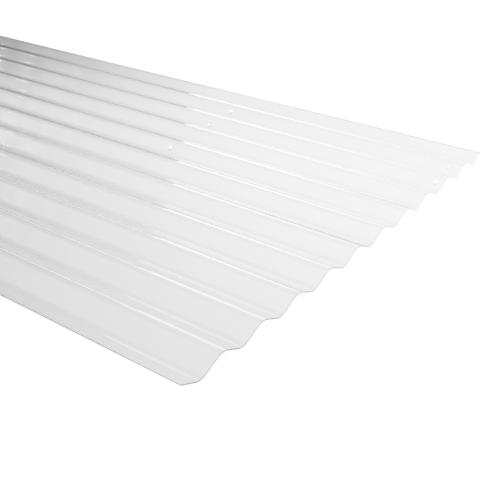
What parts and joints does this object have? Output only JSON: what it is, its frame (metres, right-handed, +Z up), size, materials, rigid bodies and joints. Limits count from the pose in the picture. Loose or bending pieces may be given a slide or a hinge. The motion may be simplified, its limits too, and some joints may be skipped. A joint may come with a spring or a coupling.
{
  "type": "corrugated polycarbonate sheet",
  "caption": "Clear corrugated plastic sheet for roofing and glazing: one thin sheet with rounded waves running along its length.",
  "frame": {"origin": "centre of the sheet's footprint, on the level floor that its troughs lie on", "axes": "+X along the waves (the sheet's length), +Y across the waves, +Z up out of the upper face"},
  "size_m": [2.4384, 0.6604, 0.0116],
  "materials": {
    "clear_polycarbonate": "clear, glossy"
  },
  "bodies": {
    "root": {"corrugated_sheet": "clear_polycarbonate"}
  },
  "joints": []
}
